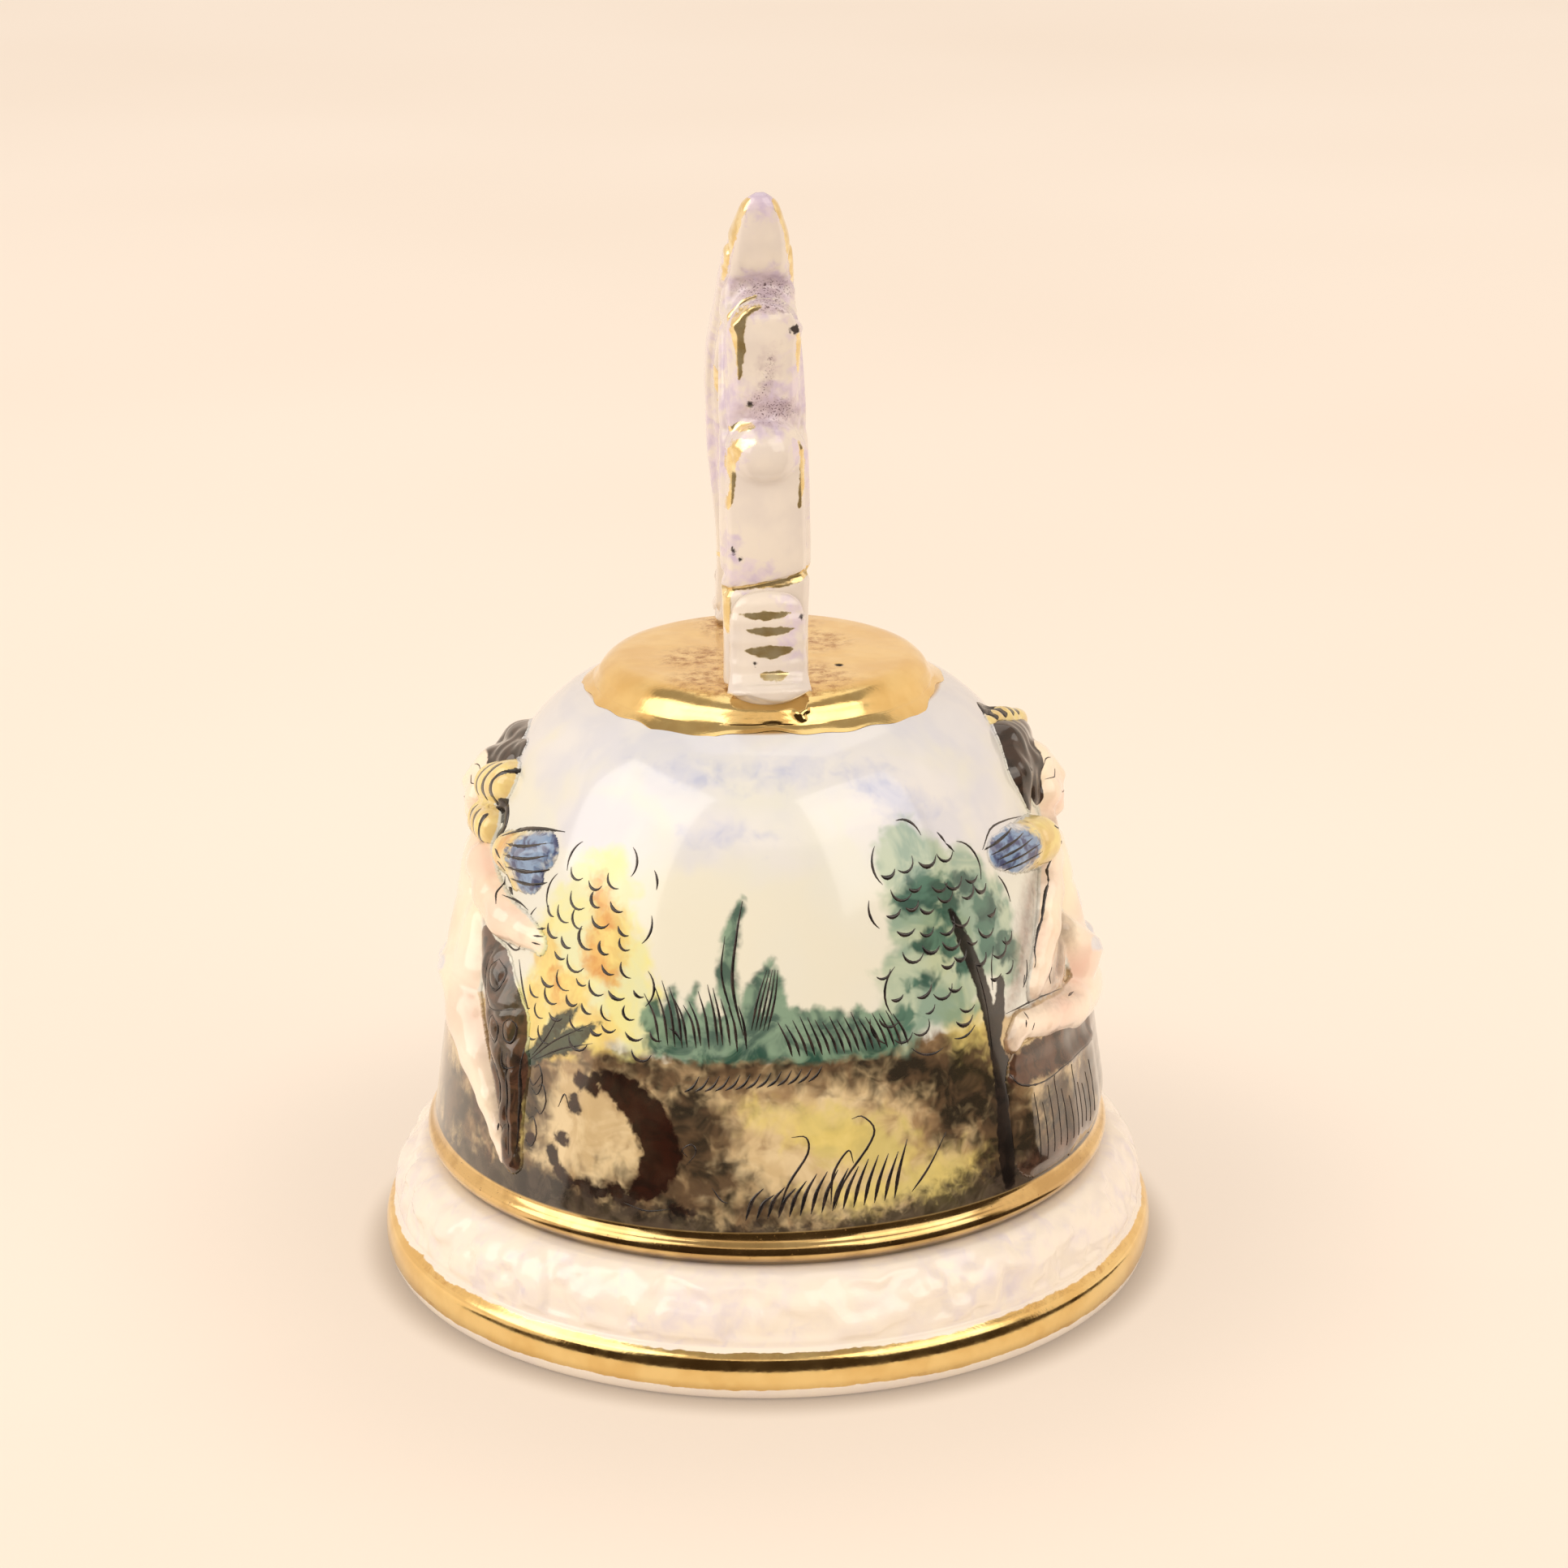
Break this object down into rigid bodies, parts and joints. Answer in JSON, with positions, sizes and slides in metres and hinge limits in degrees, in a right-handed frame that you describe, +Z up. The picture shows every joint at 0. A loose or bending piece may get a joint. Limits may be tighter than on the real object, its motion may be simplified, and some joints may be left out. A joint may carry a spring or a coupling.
{
  "type": "porcelain hand bell",
  "caption": "Porcelain hand bell with a moulded foot, gilt crown, scrolled loop handle, relief figures on its sides and a clapper hung on a short chain.",
  "frame": {"origin": "centre of the foot's underside, on the bell's axis", "axes": "+Z up along the bell's axis, -Y towards the front, +X to the front view's right; the loop handle stands in the front-to-back plane"},
  "size_m": [0.1, 0.1, 0.1386],
  "materials": {
    "painted_glaze": "glossy white glaze, hand painted with a landscape",
    "foot_glaze": "glossy white glaze over a hammered texture, with a gilt band",
    "handle_glaze": "glossy white glaze with lilac shading and gilt lines",
    "crown_gilt": "bright gilt lustre on porcelain, worn and matt near the handle",
    "figure_glaze": "glossy flesh-tinted glaze",
    "wing_glaze": "glossy yellow and blue painted glaze",
    "garland_glaze": "glossy yellow-green and black painted glaze",
    "stump_glaze": "glossy brown and black painted glaze",
    "bisque": "unpainted white ceramic inside the dome",
    "wire": "plain round wire, slightly tarnished",
    "ball_glaze": "glazed ceramic ball"
  },
  "bodies": {
    "root": {"bell_shell": "painted_glaze", "foot_ring": "foot_glaze", "crown_cap": "crown_gilt", "handle_arch_scroll": "handle_glaze", "handle_front_scroll": "handle_glaze", "handle_curled_leaf": "handle_glaze", "handle_knob": "handle_glaze", "handle_front_pad": "handle_glaze", "handle_rear_pad": "handle_glaze", "right_putto_figure": "figure_glaze", "right_putto_wing": "wing_glaze", "right_putto_garland": "garland_glaze", "right_putto_stump": "stump_glaze", "left_putto_figure": "figure_glaze", "left_putto_wing": "wing_glaze", "left_putto_garland": "garland_glaze", "left_putto_stump": "stump_glaze", "hanger_lug": "bisque"},
    "ring": {"hanger_ring": "wire"},
    "link": {"chain_link": "wire"},
    "clapper": {"clapper_rod": "wire", "clapper_collar": "wire", "clapper_ball": "ball_glaze"}
  },
  "joints": [
    {"name": "ring_swing", "type": "hinge", "parent": "root", "child": "ring", "pos_m": [0, 0, 0.0662], "axis": [1, 0, 0], "range_deg": [-22, 22]},
    {"name": "link_swing", "type": "hinge", "parent": "ring", "child": "link", "pos_m": [0, 0, 0.0609], "axis": [0, 1, 0], "range_deg": [-26, 26]},
    {"name": "clapper_swing", "type": "hinge", "parent": "link", "child": "clapper", "pos_m": [0, 0, 0.055], "axis": [1, 0, 0], "range_deg": [-18, 18]}
  ]
}
